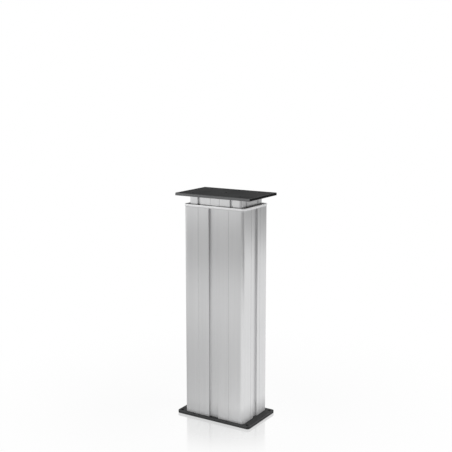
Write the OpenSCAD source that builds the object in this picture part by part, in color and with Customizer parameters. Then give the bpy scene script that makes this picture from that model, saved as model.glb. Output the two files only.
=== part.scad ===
/* [Plates] */
// Amount by which both plates stand out past the narrow faces of the column
plate_side = 24.5; // [20:0.5:60]
// Amount by which both plates stand out past the wide faces of the column
plate_front = 9; // [6:0.5:40]
// Thickness of the base plate
base_t = 8; // [7:0.5:12]
// Thickness of the top plate
top_t = 8; // [7:0.5:12]
// Corner radius of the base plate
base_corner_r = 9; // [4:0.5:11]
// Chamfer along the edges of both plates
plate_chamfer = 0.7; // [0.3:0.1:1.5]
// Distance of the floor bolts from the edges of the base plate
bolt_inset = 12; // [8:0.5:14]
// Diameter of the floor bolt holes, clearance for M8
bolt_hole_d = 9; // [7:0.5:11]

/* [Travel] */
// Stroke from fully retracted to fully extended
travel = 500; // [200:10:600]
// Length of inner profile that stays inside the outer one when fully extended
guide_len = 106; // [90:0.5:200]
// Height of inner profile that stays in view above the collar when retracted
shown_h = 24; // [12:1:60]
// Height of the inner profile's lower end above the base plate when retracted
inner_foot_h = 24; // [23:1:40]

/* [Outer profile] */
// Width of the outer profile's wide face
outer_w = 203; // [200:1:215]
// Depth of the outer profile
outer_d = 140; // [139:1:146]
// Corner radius of the outer profile
outer_r = 10; // [9:0.5:12]
// Wall of the outer profile
outer_wall = 3; // [2.5:0.1:3.5]
// Width of the long channel in the middle of the wide faces
channel_w = 31; // [24:1:40]
// Depth of the channel in the wide faces
channel_depth = 6.2; // [4:0.1:8]
// Width of the channel in the narrow faces
side_channel_w = 22; // [14:1:26]
// Depth of the channel in the narrow faces
side_channel_depth = 5.5; // [3:0.1:6]
// Wall behind each channel
channel_wall = 2.2; // [1.8:0.1:3]
// Distance of the fine grooves on the wide faces from the middle
groove_x = 52; // [30:1:80]
// Distance of the fine grooves on the narrow faces from the middle
side_groove_y = 25.6; // [18:0.2:45]
// Radius of the long edges of channels and slots
edge_r = 1; // [0.5:0.1:1.5]
// Width of every fine groove
groove_w = 0.9; // [0.4:0.1:1.5]
// Depth of every fine groove
groove_depth = 0.5; // [0.2:0.1:0.8]
// Distance of the screw ports from the outer faces
port_inset = 7; // [6.6:0.1:7.4]
// Outer diameter of the screw ports
port_d = 9; // [8.4:0.2:10]

/* [Inner profile] */
// Gap between the channel of the wide face and the inner profile behind it
channel_gap = 0.6; // [0.5:0.1:1.5]
// Gap between the channel of the narrow face and the inner profile behind it
side_channel_gap = 4.3; // [3:0.1:5]
// Corner radius of the inner profile
inner_r = 8.7; // [7:0.1:10]
// Wall of the inner profile
inner_wall = 3; // [2.5:0.1:3.5]
// Width of the open slots in the wide faces of the inner profile
slot_w = 8.2; // [5:0.2:10]
// Distance of those slots from the middle
slot_x = 54.9; // [48:0.1:60]
// Depth of those slots
slot_depth = 5; // [3:0.2:5.4]
// Width of the shallow slots in the narrow faces of the inner profile
side_slot_w = 6; // [4:0.5:12]
// Distance of the shallow slots from the middle of the narrow faces
side_slot_y = 32.4; // [24:0.2:33]
// Depth of the shallow slots
side_slot_depth = 1.6; // [1:0.1:5.4]
// Wall behind all slots
slot_wall = 2.5; // [1.8:0.1:2.8]
// Distance of the fine grooves on the wide faces of the inner profile from the middle
inner_groove_x = 15.5; // [8:0.5:30]
// Distance of the inner screw ports from the faces of the inner profile
inner_port_inset = 8; // [7.6:0.1:8.4]
// Outer diameter of the inner screw ports
inner_port_d = 12.4; // [11.6:0.2:13]

/* [Collar and glides] */
// Height of the collar's band, which is flush with the outer profile and closes its channels
collar_band_h = 2; // [1:0.5:10]
// Height of the collar above its band
collar_h = 6; // [5:0.5:12]
// Amount by which the collar stands out past the outer profile
collar_over = 1.5; // [0.5:0.1:3]
// Width of the raised rim round the collar
collar_rim_w = 3.4; // [2:0.1:4.5]
// Depth of the wiper's seat below the rim
wiper_seat_depth = 3; // [2:0.2:4.5]
// Thickness of the wiper ring
wiper_t = 2.4; // [1.5:0.1:3]
// Width of the locating noses of the collar in the middle of the wide faces
nose_w = 12.5; // [6:0.5:24]
// Depth of the collar's skirt inside the outer profile
skirt_h = 12; // [6:1:20]
// Wall of the skirt
skirt_wall = 2; // [1.4:0.1:3]
// Height of the upper glide shoes
upper_glide_h = 38; // [20:1:60]
// Height of the lower glide frame on the inner profile
lower_glide_h = 34; // [20:1:50]
// Lip of the lower glide frame under the inner profile
glide_lip_t = 4; // [2:0.5:5]

/* [Lead screw] */
// Teeth of the gear on the lead screw
gear_teeth = 54; // [48:1:60]
// Teeth of the motor pinion
pinion_teeth = 18; // [17:1:22]
// Face width of the gear on the lead screw
gear_face = 10; // [6:0.5:11]
// Play between the teeth, along the pitch circle
backlash = 0.3; // [0.2:0.05:0.4]
// Outside diameter of the lead screw's thread
screw_d = 18; // [16:0.5:18.4]
// Outside diameter of the push tube
push_tube_d = 40; // [38:0.5:44]
// Wall of the push tube
push_tube_wall = 3; // [2.5:0.1:3.4]
// Length of the drive nut inside the push tube
nut_len = 40; // [24:1:60]
// Thickness of the drive nut's flange
nut_flange_t = 4; // [3:0.5:4]
// Diameter of the push tube's head under the top plate
push_head_d = 68; // [50:1:72]
// Thickness of the push tube's head
push_head_t = 8; // [6:0.5:12]

/* [Gear case] */
// Room above the gear inside the case
gear_headroom = 3; // [2.5:0.1:6]
// Thickness of the gear case's floor
case_floor = 4; // [3.5:0.1:4.6]
// Wall of the gear case
case_wall = 3; // [2.5:0.1:3.4]
// Thickness of the gear case's cover
cover_t = 6; // [5:0.5:8]
// Space between the gear's teeth and the wall of the case
gear_room = 1; // [0.6:0.1:1.2]
// Outside diameter of the lead screw's bearing
bearing_d = 40; // [38:0.5:42]
// Bore of the lead screw's bearing
bearing_bore = 17; // [15:0.5:17]
// Width of the bearing
bearing_w = 12; // [11:0.5:13]
// Number of balls in the bearing
ball_count = 9; // [7:1:9]
// Diameter of the balls
ball_d = 6.8; // [6:0.1:7]

/* [Motor] */
// Space between the motor and the wall of the inner profile
motor_room = 6.5; // [5:0.1:10]
// Length of the motor's can
motor_len = 90; // [60:1:140]
// Length of the gearhead
gearhead_len = 32; // [20:1:50]
// Height of the motor's end cap
motor_cap_h = 12; // [8:0.5:20]
// Diameter of the motor's output shaft
motor_shaft_d = 8; // [6:0.5:10]

/* [Inlet] */
// Width of the inlet socket's body
socket_w = 22; // [16:0.5:23]
// Height of the inlet socket's body
socket_h = 13; // [10:0.5:13.5]
// Space between the inlet socket and the gear case
socket_room = 4.8; // [2:0.1:7]
// Diameter of the lead from the socket to the motor
lead_d = 5; // [3:0.5:6]

/* [Screws] */
// Diameter of the screws that hold the base plate to the outer profile
base_screw_d = 6; // [5:0.5:6.4]
// Length of those screws below the profile's end, inside its ports
base_screw_reach = 20; // [10:1:40]
// Diameter of the screws that hold the top plate to the inner profile
top_screw_d = 8; // [6:0.5:8.4]
// Length of those screws inside the inner profile's ports
top_screw_reach = 22; // [10:1:40]
// Diameter of the bolt that holds the push tube's head
head_bolt_d = 12; // [8:0.5:13]
// Diameter of the screws through the gear case
case_screw_d = 5; // [4:0.5:5.5]

/* [Clearances] */
// Between pieces that slide or turn past each other with room
slide_gap = 0.3; // [0.25:0.05:0.4]
// Between pieces that are seated in each other
seat_gap = 0.05; // [0.02:0.01:0.08]
// Radial clearance of shafts and of the nut in their running fits
run_gap = 0.05; // [0.03:0.01:0.08]

/* [Hidden] */
$fn = 64;
eps = 0.01;

// Plan of the plates and of the two profiles
plate_l = outer_w + 2 * plate_side;
plate_w = outer_d + 2 * plate_front;
outer_bulge = channel_depth + channel_wall;
side_bulge = side_channel_depth + channel_wall;
bolt_x = plate_l / 2 - bolt_inset;
bolt_y = plate_w / 2 - bolt_inset;
inner_w = outer_w - 2 * (side_bulge + side_channel_gap);
inner_d = outer_d - 2 * (outer_bulge + channel_gap);
port_x = outer_w / 2 - port_inset;
port_y = outer_d / 2 - port_inset;
inner_port_x = inner_w / 2 - inner_port_inset;
inner_port_y = inner_d / 2 - inner_port_inset;

// Collar: room round the inner profile, and how far its noses reach in from the rim's outside
collar_lip = 1.6;
nose_reach = outer_d / 2 + collar_over - inner_d / 2 - collar_lip;

// Heights when retracted
outer_len = travel + guide_len + inner_foot_h;
outer_top = base_t + outer_len;
rim_foot = outer_top + collar_band_h;
collar_top = rim_foot + collar_h;
inner_foot = base_t + inner_foot_h;
inner_top = collar_top + shown_h;
column_h = inner_top + top_t;

// Push tube, and the motor beside it in the cavity of the inner profile
push_tube_r = push_tube_d / 2;
push_bore_r = push_tube_r - push_tube_wall;
cavity_x = inner_w / 2 - inner_wall;
motor_side_shift = 0.75;
motor_x = (cavity_x + push_tube_r) / 2 + motor_side_shift;
motor_r = cavity_x - motor_x - motor_room;

// Gears: the module follows from the centre distance
gear_module = 2 * motor_x / (gear_teeth + pinion_teeth);
pitch_r = gear_module * gear_teeth / 2;

// Gear case, from its floor up
case_r = pitch_r + gear_module + gear_room + case_wall;
case_motor_r = motor_r + case_wall;
bearing_z = base_t + case_floor;
bearing_top = bearing_z + bearing_w;
bearing_shoulder_t = 3;
gear_z = bearing_top + bearing_shoulder_t;
case_h = gear_z + gear_face + gear_headroom - base_t;
case_top = base_t + case_h;
cover_top = case_top + cover_t;
hub_h = 6;
bush_r = screw_d / 2 + 3;
hub_wall = 4;
bush_flange_t = 1.5;
pinion_over = 0.5;
lug_r = 6;
lug_reach = 5;
lug_turn = 135;
motor_lug_turn = 60;
case_screw_foot = 2;
case_screw_room = 0.5;
shaft_reach = 14;

// Bearing
ball_path_r = (bearing_bore + bearing_d) / 4;
race_gap = 0.25;
ring_t = 3.2;
screw_foot = base_t + 0.6;
gear_seat_r = screw_d / 2 + 0.5;
nut_seat_r = bearing_bore / 2 - 1;

// Drive nut and end stop
nut_rest_gap = 2;
nut_foot = cover_top + hub_h + nut_rest_gap;
tube_foot = nut_foot + nut_flange_t;
nut_top = tube_foot + nut_len;
tube_top = inner_top - push_head_t;
spigot_h = 20;
overrun = 10;
stop_z = nut_top + travel + overrun;
stop_t = 4;
stop_gap = 1;
nut_pin_r = 2.5;
nut_pin_tip = (screw_d / 2 + push_bore_r) / 2;
nut_pin_z = (tube_foot + nut_top) / 2;

// Motor
gearhead_top = cover_top + gearhead_len;
motor_top = gearhead_top + motor_len;
cap_top = motor_top + motor_cap_h;
board_t = 1.6;
board_gap = 3;
board_r = motor_r - 8;
board_post = 3;

// Inlet
socket_z = base_t + 10;
socket_flange_t = 2;
socket_flange_w = 27;
socket_flange_h = 17;
socket_face = outer_d / 2 - channel_depth;
socket_depth = socket_face - case_r - socket_room;
socket_back_wall = 4;

corners = [[-1, -1], [1, -1], [-1, 1], [1, 1]];
case_lugs = [
    for (s = [-1, 1]) (case_r + lug_reach) * [cos(lug_turn), s * sin(lug_turn)],
    for (s = [-1, 1])
        [motor_x, 0] + (case_motor_r + lug_reach) * [cos(motor_lug_turn), s * sin(motor_lug_turn)]
];

module at_corners(x, y) {
    for (c = corners) translate([c[0] * x, c[1] * y]) children();
}

// Rounded rectangle about the origin
module rounded(w, d, r) {
    square([w - 2 * r, d], center = true);
    square([w, d - 2 * r], center = true);
    at_corners(w / 2 - r, d / 2 - r) circle(r);
}

// A strip of the given width and depth let in from each of the two faces at +/-face_y
module face_strips(x, w, face_y, depth) {
    for (s = [-1, 1]) translate([x, s * (face_y - depth / 2)])
        square([w, depth + eps], center = true);
}

// Rounds the two long edges where a channel or slot at x meets each of the faces at +/-face_y
module soft_edges(x, w, face_y) {
    for (s = [-1, 1], t = [-1, 1]) translate([x + s * w / 2, t * face_y]) scale([s, t]) difference() {
        translate([-eps, -edge_r]) square(edge_r + eps);
        translate([edge_r, -edge_r]) circle(edge_r);
    }
}

module turned() {
    rotate(90) children();
}

// Fine V-groove cut into the two faces at +/-face_y
module grooves(x, face_y) {
    for (s = [-1, 1]) scale([1, s]) translate([x, face_y])
        polygon([[-groove_w / 2, eps], [groove_w / 2, eps], [0, -groove_depth]]);
}

// Screw port in the corner of a profile: a round boss tied into the corner
module port(x, y, d, grow = 0) {
    at_corners(x, y) circle(d / 2 + grow);
    for (c = corners) scale([c[0], c[1]]) translate([x, y] - [grow, grow])
        square(d / 2 + outer_wall);
}

// Open inside of the outer profile, smaller by c all round
module outer_hollow(c = 0) {
    difference() {
        rounded(outer_w - 2 * (outer_wall + c), outer_d - 2 * (outer_wall + c), outer_r - outer_wall - c);
        face_strips(0, channel_w + 2 * (channel_wall + c), outer_d / 2, outer_bulge + c);
        turned() face_strips(0, side_channel_w + 2 * (channel_wall + c), outer_w / 2, side_bulge + c);
        port(port_x, port_y, port_d, c);
    }
}

module outer_section() {
    difference() {
        rounded(outer_w, outer_d, outer_r);
        outer_hollow();
        face_strips(0, channel_w, outer_d / 2, channel_depth);
        turned() face_strips(0, side_channel_w, outer_w / 2, side_channel_depth);
        soft_edges(0, channel_w, outer_d / 2);
        turned() soft_edges(0, side_channel_w, outer_w / 2);
        for (s = [-1, 1]) {
            grooves(s * groove_x, outer_d / 2);
            turned() grooves(s * side_groove_y, outer_w / 2);
        }
        at_corners(port_x, port_y) circle(base_screw_d / 2 + seat_gap);
    }
}

module inner_outline(c = 0) {
    rounded(inner_w + 2 * c, inner_d + 2 * c, inner_r + c);
}

module inner_section() {
    difference() {
        inner_outline();
        difference() {
            inner_outline(-inner_wall);
            for (s = [-1, 1]) {
                face_strips(s * slot_x, slot_w + 2 * slot_wall, inner_d / 2, slot_depth + slot_wall);
                turned() face_strips(s * side_slot_y, side_slot_w + 2 * slot_wall, inner_w / 2,
                    side_slot_depth + slot_wall);
            }
            port(inner_port_x, inner_port_y, inner_port_d);
        }
        for (s = [-1, 1]) {
            face_strips(s * slot_x, slot_w, inner_d / 2, slot_depth);
            soft_edges(s * slot_x, slot_w, inner_d / 2);
            turned() face_strips(s * side_slot_y, side_slot_w, inner_w / 2, side_slot_depth);
            turned() soft_edges(s * side_slot_y, side_slot_w, inner_w / 2);
            grooves(s * inner_groove_x, inner_d / 2);
        }
        at_corners(inner_port_x, inner_port_y) circle(top_screw_d / 2 + seat_gap);
    }
}

// Countersunk screw, its head's top at z = 0 and its shank pointing down
module countersunk_screw(d, length) {
    difference() {
        union() {
            translate([0, 0, -d / 2]) cylinder(h = d / 2, r1 = d / 2, r2 = d);
            translate([0, 0, -length]) cylinder(h = length - d / 2 + eps, r = d / 2);
        }
        translate([0, 0, -d / 3]) cylinder(h = d, r = d / 3, $fn = 6);
    }
}

// Room for a countersunk screw in a plate of thickness t whose face is at z = 0
module countersink(d, t) {
    translate([0, 0, -d / 2 - seat_gap]) cylinder(h = d / 2 + seat_gap, r1 = d / 2, r2 = d + seat_gap);
    translate([0, 0, -t - 1]) cylinder(h = t + 1, r = d / 2 + seat_gap);
    translate([0, 0, -eps]) cylinder(h = 1, r = d + seat_gap);
}

// Plate with square corners, its edges chamfered above and below
module chamfered_box(l, w, t, c) {
    intersection() {
        chamfered_bar(l, t, c, w + 2);
        rotate(90) chamfered_bar(w, t, c, l + 2);
    }
}

// Chamfered bar of length l along X, running w along Y
module chamfered_bar(l, t, c, w) {
    rotate([90, 0, 0]) linear_extrude(w, center = true) polygon([
        [-l / 2 + c, 0], [l / 2 - c, 0], [l / 2, c], [l / 2, t - c],
        [l / 2 - c, t], [-l / 2 + c, t], [-l / 2, t - c], [-l / 2, c]]);
}

// Plate with chamfered edges and corners of radius r
module chamfered_plate(l, w, t, r, c) {
    difference() {
        chamfered_box(l, w, t, c);
        for (q = corners) translate([q[0] * (l / 2 - r), q[1] * (w / 2 - r), -1]) scale([q[0], q[1], 1])
            cube([r + 1, r + 1, t + 2]);
    }
    at_corners(l / 2 - r, w / 2 - r) rotate_extrude()
        polygon([[0, 0], [r - c, 0], [r, c], [r, t - c], [r - c, t], [0, t]]);
}

module base_plate() {
    color("#3a3b3d") difference() {
        chamfered_plate(plate_l, plate_w, base_t, base_corner_r, plate_chamfer);
        at_corners(bolt_x, bolt_y) translate([0, 0, -1]) cylinder(h = base_t + 2, d = bolt_hole_d);
        at_corners(port_x, port_y) rotate([180, 0, 0]) countersink(base_screw_d, base_t);
        for (p = case_lugs) translate([p[0], p[1], case_screw_foot - case_screw_room])
            cylinder(h = base_t, r = case_screw_d / 2 + seat_gap);
    }
}

module base_screw(c) {
    color("#2c2d2f") translate([c[0] * port_x, c[1] * port_y, 0]) rotate([180, 0, 0])
        countersunk_screw(base_screw_d, base_t + base_screw_reach);
}

module outer_profile() {
    color("#c9cbce") difference() {
        translate([0, 0, base_t]) linear_extrude(outer_len) outer_section();
        translate([0, outer_d / 2 - outer_bulge / 2 - channel_depth / 2, socket_z])
            cube([socket_w + 2 * seat_gap, 2 * channel_depth, socket_h + 2 * seat_gap], center = true);
    }
}

module collar_outline(inset = 0) {
    rounded(outer_w + 2 * (collar_over - inset), outer_d + 2 * (collar_over - inset),
        outer_r + collar_over - inset);
}

module collar() {
    color("#d9dadc") {
        translate([0, 0, outer_top]) linear_extrude(collar_band_h) difference() {
            rounded(outer_w, outer_d, outer_r);
            inner_outline(collar_lip);
        }
        translate([0, 0, rim_foot]) difference() {
            linear_extrude(collar_h) collar_outline();
            translate([0, 0, -1]) linear_extrude(collar_h + 2) inner_outline(collar_lip);
            translate([0, 0, collar_h - wiper_seat_depth]) linear_extrude(collar_h) difference() {
                collar_outline(collar_rim_w);
                face_strips(0, nose_w, outer_d / 2 + collar_over, nose_reach);
            }
        }
        translate([0, 0, outer_top - skirt_h]) linear_extrude(skirt_h) difference() {
            outer_hollow(seat_gap);
            rounded(outer_w - 2 * (outer_wall + skirt_wall), outer_d - 2 * (outer_wall + skirt_wall),
                outer_r - outer_wall);
        }
    }
}

module wiper_ring() {
    color("#6b6d70") translate([0, 0, collar_top - wiper_seat_depth]) linear_extrude(wiper_t) difference() {
        collar_outline(collar_rim_w + seat_gap);
        inner_outline(slide_gap);
        face_strips(0, nose_w + 2 * seat_gap, outer_d / 2 + collar_over, nose_reach + seat_gap);
    }
}

// One of the two C-shaped glide shoes that centre the inner profile in the outer one
module upper_glide(side) {
    shoe_top = outer_top - skirt_h - 1;
    color("#e9e7df") translate([0, 0, shoe_top - upper_glide_h]) linear_extrude(upper_glide_h)
        intersection() {
            difference() {
                outer_hollow(seat_gap);
                inner_outline(slide_gap);
            }
            translate([side * outer_w / 2, 0]) square([outer_w - channel_w, outer_d], center = true);
        }
}

// Frame on the foot of the inner profile, with a lip under its wall
module lower_glide() {
    color("#e9e7df") {
        translate([0, 0, inner_foot]) linear_extrude(lower_glide_h) difference() {
            outer_hollow(slide_gap);
            inner_outline(seat_gap);
        }
        translate([0, 0, inner_foot - glide_lip_t]) linear_extrude(glide_lip_t) difference() {
            union() {
                outer_hollow(slide_gap);
                inner_outline();
            }
            inner_outline(-inner_wall - 1);
        }
    }
}

// Plan of the gear case: a disc round the gear, a disc under the motor and a waist between them.
// The waist starts just inside the discs' common tangents.
module pear(inset = 0) {
    r1 = case_r - inset;
    r2 = case_motor_r - inset;
    a = acos((r1 - r2) / motor_x);
    waist = 0.97;
    t1 = waist * r1 * [cos(a), sin(a)];
    t2 = [motor_x, 0] + waist * r2 * [cos(a), sin(a)];
    circle(r1);
    translate([motor_x, 0]) circle(r2);
    polygon([[t1[0], -t1[1]], [t2[0], -t2[1]], t2, t1]);
}

// The same with four screw lugs, each tied in by a straight neck
module lugged_pear() {
    pear();
    for (p = case_lugs) {
        centre = p[0] < 0 ? [0, 0] : [motor_x, 0];
        toward = (centre - p) / norm(centre - p);
        across = 0.8 * lug_r * [-toward[1], toward[0]];
        neck = 2 * lug_reach * toward;
        translate(p) circle(lug_r);
        polygon([p + across, p - across, p - across + neck, p + across + neck]);
    }
}

module case_screw_holes() {
    for (p = case_lugs) translate(p) circle(case_screw_d / 2 + seat_gap);
}

module gear_case() {
    boss_wall = 4;
    foot_bush_r = motor_shaft_d / 2 + 4;
    boss_h = bearing_top - bearing_z + 1;
    color("#a9abad") difference() {
        union() {
            difference() {
                translate([0, 0, base_t]) linear_extrude(case_h) lugged_pear();
                translate([0, 0, bearing_z]) linear_extrude(case_h) pear(case_wall);
            }
            translate([0, 0, bearing_z - 1]) cylinder(h = boss_h, r = bearing_d / 2 + boss_wall);
            translate([motor_x, 0, bearing_z - 1]) cylinder(h = boss_h, r = foot_bush_r);
        }
        translate([0, 0, bearing_z]) cylinder(h = bearing_w + 1, r = bearing_d / 2 + seat_gap);
        translate([0, 0, base_t - 1]) cylinder(h = case_h, r = bearing_bore / 2 + 5);
        translate([motor_x, 0, bearing_z]) cylinder(h = case_h, r = motor_shaft_d / 2 + run_gap);
        for (p = case_lugs) translate([p[0], p[1], base_t - 1])
            cylinder(h = case_h + 2, r = case_screw_d / 2 + seat_gap);
    }
}

module gear_cover() {
    color("#a9abad") difference() {
        union() {
            translate([0, 0, case_top]) linear_extrude(cover_t) lugged_pear();
            translate([0, 0, case_top]) cylinder(h = cover_t + hub_h, r = bush_r + hub_wall);
        }
        translate([0, 0, case_top - 1]) cylinder(h = cover_t + hub_h + 2, r = bush_r + seat_gap);
        translate([motor_x, 0, case_top - 1]) cylinder(h = cover_t + 2, r = motor_r / 2 + seat_gap);
        translate([0, 0, case_top - 1]) linear_extrude(cover_t + 2) case_screw_holes();
    }
}

module case_screw(i) {
    head_h = case_screw_d;
    p = case_lugs[i];
    color("#4a4b4d") translate([p[0], p[1], 0]) {
        translate([0, 0, case_screw_foot])
            cylinder(h = cover_top - case_screw_foot + eps, r = case_screw_d / 2);
        difference() {
            translate([0, 0, cover_top]) cylinder(h = head_h, d = 1.7 * case_screw_d);
            translate([0, 0, cover_top + head_h / 2]) cylinder(h = head_h, r = 0.45 * case_screw_d, $fn = 6);
        }
    }
}

// Ring of the bearing with its ball groove, between two radii
module bearing_ring(r_in, r_out) {
    translate([0, 0, bearing_z]) rotate_extrude() difference() {
        translate([r_in, 0]) square([r_out - r_in, bearing_w]);
        translate([ball_path_r, bearing_w / 2]) circle(ball_d / 2 + race_gap);
    }
}

module bearing_outer_ring() {
    color("#b8bbbf") bearing_ring(bearing_d / 2 - ring_t, bearing_d / 2);
}

module bearing_inner_ring() {
    color("#b8bbbf") bearing_ring(bearing_bore / 2 + run_gap, bearing_bore / 2 + ring_t);
}

// Balls and the cage that spaces them
module bearing_balls() {
    cage_t = 1.2;
    cage_h = ball_d * 0.6;
    color("#c9a65a") translate([0, 0, bearing_z + bearing_w / 2]) {
        rotate_extrude() translate([ball_path_r - cage_t / 2, -cage_h / 2]) square([cage_t, cage_h]);
        for (i = [0 : ball_count - 1]) rotate(i * 360 / ball_count) translate([ball_path_r, 0, 0])
            sphere(d = ball_d);
    }
}

module cover_bush() {
    color("#b08d4a") difference() {
        union() {
            translate([0, 0, case_top]) cylinder(h = cover_t + hub_h, r = bush_r);
            translate([0, 0, case_top - bush_flange_t]) cylinder(h = bush_flange_t, r = bush_r + 2);
        }
        translate([0, 0, case_top - 3]) cylinder(h = cover_t + hub_h + 4, r = screw_d / 2 + run_gap);
    }
}

module gearhead() {
    color("#8f9194") difference() {
        union() {
            translate([motor_x, 0, cover_top]) cylinder(h = gearhead_len, r = motor_r);
            translate([motor_x, 0, case_top + 1]) cylinder(h = cover_t, r = motor_r / 2);
        }
        translate([motor_x, 0, case_top])
            cylinder(h = cover_t + shaft_reach + 1, r = motor_shaft_d / 2 + run_gap);
        for (a = [45 : 90 : 315]) translate([motor_x, 0, gearhead_top - 6]) rotate(a)
            translate([motor_r, 0, 0]) cylinder(h = 7, r = 3);
    }
}

module motor_can() {
    bead = [1.2, 2];
    bead_inset = 8;
    color("#6f7174") difference() {
        translate([motor_x, 0, gearhead_top]) cylinder(h = motor_len, r = motor_r);
        for (z = [bead_inset, motor_len - bead_inset - bead[1]])
            translate([motor_x, 0, gearhead_top + z]) rotate_extrude()
                translate([motor_r - bead[0] / 2, 0]) square(bead);
    }
}

module motor_cap() {
    brush_w = 10;
    brush_l = 2 * motor_r - 6;
    color("#2f3032") translate([motor_x, 0, motor_top]) {
        cylinder(h = motor_cap_h - 4, d = 2 * motor_r - 2);
        translate([0, 0, motor_cap_h - 4 - eps]) cylinder(h = 4 + eps, r = motor_r / 2.4);
        translate([-brush_l / 2, -brush_w / 2, 0]) cube([brush_l, brush_w, motor_cap_h - 1]);
        for (s = [-1, 1]) translate([0, s * (board_r - board_post), 0])
            cylinder(h = motor_cap_h + board_gap, r = 2);
    }
}

module hall_board() {
    color("#2c6b45") translate([motor_x, 0, cap_top + board_gap]) {
        cylinder(h = board_t, r = board_r);
        translate([-4, -3, board_t - eps]) cube([8, 6, 2]);
    }
}

module inlet_socket() {
    mouth_w = socket_w - 6;
    mouth_h = socket_h - 5;
    mouth_depth = socket_depth - socket_back_wall;
    pin_pitch = 3.6;
    pin_r = 0.6;
    color("#202124") {
        difference() {
            union() {
                translate([0, socket_face - socket_depth / 2, socket_z])
                    cube([socket_w, socket_depth + eps, socket_h], center = true);
                translate([0, socket_face + socket_flange_t / 2, socket_z])
                    cube([socket_flange_w, socket_flange_t, socket_flange_h], center = true);
            }
            translate([0, socket_face, socket_z]) cube([mouth_w, 2 * mouth_depth, mouth_h], center = true);
        }
        for (i = [-1.5 : 1 : 1.5])
            translate([i * pin_pitch, socket_face - mouth_depth - 1, socket_z]) rotate([-90, 0, 0])
                cylinder(h = mouth_depth - 1, r = pin_r);
    }
}

// Route of the lead from the socket's side, round the gear case and up the motor to its cap
lead_room = 1.8;
lead_y = socket_face - channel_wall - lead_d / 2 - lead_room;
lead_rise = motor_r + 12;
lead_route = [
    [socket_w / 2, lead_y, socket_z], [20, lead_y, socket_z], [30, lead_y - 3, socket_z],
    [40, lead_y - 8, socket_z + 1], [48, lead_rise + 6, socket_z + 6], [52, lead_rise + 3, socket_z + 14],
    [motor_x, lead_rise + 1, socket_z + 24], [motor_x, lead_rise, socket_z + 42],
    [motor_x, lead_rise, motor_top - 60], [motor_x, lead_rise, motor_top - 25],
    [motor_x, lead_rise - 1, motor_top - 8], [motor_x, lead_rise - 4, motor_top + 4],
    [motor_x, lead_rise - 9, motor_top + 11], [motor_x, motor_r - 2, cap_top + board_gap - 0.2]
];

function unit(v) = v / norm(v);
function along(p, i) = unit(p[min(i + 1, len(p) - 1)] - p[max(i - 1, 0)]);

// Tube of the given radius along the points p, with a ring of corners square to the route at each
module swept_tube(p, r, sides) {
    n = len(p);
    rings = [for (i = [0 : n - 1])
        let (t = along(p, i), u = unit(cross(t, [0, 1, 0])), v = cross(u, t))
        for (k = [0 : sides - 1]) p[i] + r * (cos(360 * k / sides) * u + sin(360 * k / sides) * v)];
    polyhedron(rings, concat(
        [[for (k = [0 : sides - 1]) k]],
        [for (i = [0 : n - 2], k = [0 : sides - 1]) let (j = (k + 1) % sides)
            [i * sides + j, i * sides + k, (i + 1) * sides + k, (i + 1) * sides + j]],
        [[for (k = [sides - 1 : -1 : 0]) (n - 1) * sides + k]]));
}

module motor_lead() {
    color("#1c1c1e") swept_tube(lead_route, lead_d / 2, 10);
}

// Involute of the base circle, as the extra angle at radius r
function involute(r, base_r) = let (a = acos(min(1, base_r / r))) tan(a) * 180 / PI - a;

function tooth(teeth, play) = let (
        pr = gear_module * teeth / 2,
        br = pr * cos(20),
        tip = pr + gear_module,
        root = pr - 1.25 * gear_module,
        half = 90 / teeth - play / 4 / pr * 180 / PI + involute(pr, br),
        steps = 4,
        low = max(br, root),
        radii = [for (i = [0 : steps]) low + (tip - low) * i / steps])
    concat(
        [[root, -half]],
        [for (i = [0 : steps]) [radii[i], involute(radii[i], br) - half]],
        [for (i = [steps : -1 : 0]) [radii[i], half - involute(radii[i], br)]],
        [[root, half]]);

module gear_section(teeth) {
    one = tooth(teeth, backlash);
    polygon([for (k = [0 : teeth - 1], q = one)
        let (a = q[1] + 360 * k / teeth) q[0] * [cos(a), sin(a)]]);
}

module spindle_gear() {
    web_cut = 2.5;
    rim = 5;
    hub_r = bearing_bore / 2 + 6;
    color("#e4dfcf") translate([0, 0, gear_z]) difference() {
        linear_extrude(gear_face) gear_section(gear_teeth);
        translate([0, 0, -1]) cylinder(h = gear_face + 2, r = gear_seat_r + run_gap);
        for (z = [-eps, gear_face - web_cut + eps]) translate([0, 0, z]) difference() {
            cylinder(h = web_cut, r = pitch_r - 1.25 * gear_module - rim);
            translate([0, 0, -1]) cylinder(h = web_cut + 2, r = hub_r);
        }
    }
}

module pinion_shaft() {
    color("#b8bbbf") translate([motor_x, 0, bearing_z + 1])
        cylinder(h = cover_top + shaft_reach - bearing_z - 1, r = motor_shaft_d / 2);
}

module pinion() {
    color("#c8cacd") translate([motor_x, 0, gear_z - pinion_over]) difference() {
        linear_extrude(gear_face + 2 * pinion_over) rotate(180 + 180 / pinion_teeth)
            gear_section(pinion_teeth);
        translate([0, 0, -1]) cylinder(h = gear_face + 4, r = motor_shaft_d / 2 + seat_gap / 5);
    }
}

module lead_screw() {
    // Height and radius at each step of the turned bar, from its foot to the end stop
    steps = [
        [screw_foot, nut_seat_r], [bearing_z, nut_seat_r],
        [bearing_z, bearing_bore / 2], [bearing_top, bearing_bore / 2],
        [bearing_top, gear_seat_r + 2], [gear_z, gear_seat_r + 2],
        [gear_z, gear_seat_r], [gear_z + gear_face, gear_seat_r],
        [gear_z + gear_face, screw_d / 2], [stop_z, screw_d / 2]
    ];
    color("#c8cacd") rotate_extrude() polygon(concat(
        [[0, screw_foot]], [for (p = steps) [p[1], p[0]]], [[0, stop_z]]));
}

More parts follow.
